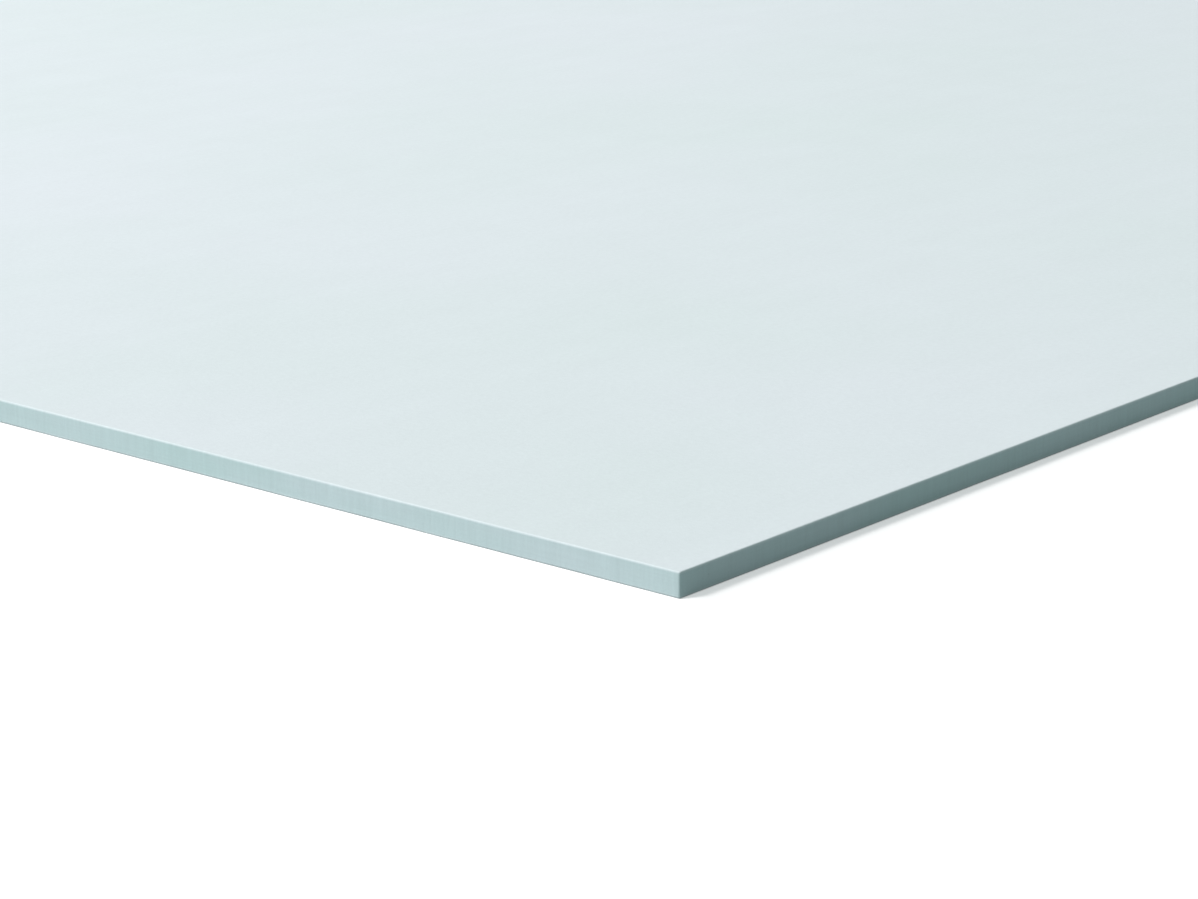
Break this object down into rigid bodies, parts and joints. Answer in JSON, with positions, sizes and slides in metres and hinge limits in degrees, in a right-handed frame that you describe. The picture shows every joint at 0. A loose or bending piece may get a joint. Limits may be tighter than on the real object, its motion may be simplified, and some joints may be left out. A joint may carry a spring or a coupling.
{
  "type": "rubber soundproofing panel",
  "caption": "Flat rectangular sheet of solid rubber with square-cut edges, glued or laid behind a finish on a wall, floor or ceiling to dampen sound.",
  "frame": {"origin": "centre of the back face, the face that the sheet lies on", "axes": "+X along the length, +Y across the width, +Z out of the front face"},
  "size_m": [2.4, 1.2, 0.01],
  "materials": {
    "sheet_rubber": "matte, pale blue-grey"
  },
  "bodies": {
    "root": {"panel": "sheet_rubber"}
  },
  "joints": []
}
